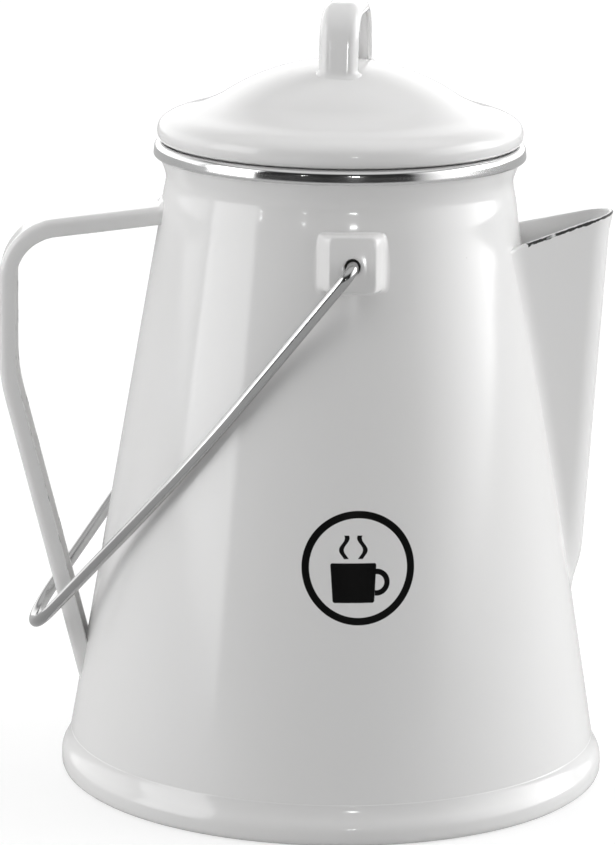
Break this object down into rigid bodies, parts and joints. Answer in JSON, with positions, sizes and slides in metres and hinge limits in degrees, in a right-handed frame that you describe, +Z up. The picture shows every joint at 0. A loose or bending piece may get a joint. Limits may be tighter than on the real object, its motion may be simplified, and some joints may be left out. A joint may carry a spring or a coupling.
{
  "type": "camping coffee percolator",
  "caption": "Tall conical enamelled steel coffee percolator with a V spout, strap handle, wire bail, domed lid with a loop knob and a lift-out basket.",
  "frame": {"origin": "centre of the pot's flat underside, on its axis", "axes": "+Z up along the pot's axis, +X towards the spout, -X towards the handle, ears of the bail on -Y and +Y"},
  "size_m": [0.1982, 0.1782, 0.253],
  "materials": {
    "pot_enamel": "glossy white vitreous enamel on steel",
    "base_enamel": "glossy white vitreous enamel on steel",
    "rim_steel": "polished stainless steel",
    "spout_enamel": "glossy white vitreous enamel on steel",
    "handle_enamel": "glossy white vitreous enamel on steel",
    "ear_enamel": "glossy white vitreous enamel on steel",
    "bail_steel": "drawn steel wire, bright",
    "lid_enamel": "glossy white vitreous enamel on steel",
    "collar_enamel": "glossy white vitreous enamel on steel",
    "knob_enamel": "glossy white vitreous enamel on steel",
    "stem_aluminium": "spun aluminium",
    "bell_aluminium": "spun aluminium",
    "stop_aluminium": "spun aluminium",
    "basket_aluminium": "spun aluminium",
    "spreader_aluminium": "spun aluminium"
  },
  "bodies": {
    "pot": {"body_shell": "pot_enamel", "base_plate": "base_enamel", "rim_band": "rim_steel", "spout_shell": "spout_enamel", "handle_strap": "handle_enamel", "ear_front": "ear_enamel", "ear_rear": "ear_enamel"},
    "bail": {"bail_wire": "bail_steel"},
    "lid": {"lid_shell": "lid_enamel", "lid_collar": "collar_enamel", "lid_knob": "knob_enamel"},
    "stem": {"pump_stem": "stem_aluminium", "pump_bell": "bell_aluminium", "basket_stop": "stop_aluminium"},
    "basket": {"coffee_basket": "basket_aluminium"},
    "spreader": {"basket_spreader": "spreader_aluminium"}
  },
  "joints": [
    {"name": "bail_swing", "type": "hinge", "parent": "pot", "child": "bail", "pos_m": [0.002, 0, 0.1782], "axis": [0, 1, 0], "range_deg": [0, 278]},
    {"name": "lid_lift", "type": "slide", "parent": "pot", "child": "lid", "axis": [0, 0, 1], "range_m": [0, 0.36]},
    {"name": "stem_lift", "type": "slide", "parent": "pot", "child": "stem", "axis": [0, 0, 1], "range_m": [0, 0.216]},
    {"name": "basket_lift", "type": "slide", "parent": "stem", "child": "basket", "axis": [0, 0, 1], "range_m": [0, 0.0972]},
    {"name": "spreader_lift", "type": "slide", "parent": "basket", "child": "spreader", "axis": [0, 0, 1], "range_m": [0, 0.027]}
  ],
  "couplings": [
    {"joint": "stem_lift", "follows": "lid_lift", "ratio": 0.6},
    {"joint": "basket_lift", "follows": "lid_lift", "ratio": 0.27},
    {"joint": "spreader_lift", "follows": "lid_lift", "ratio": 0.075}
  ]
}
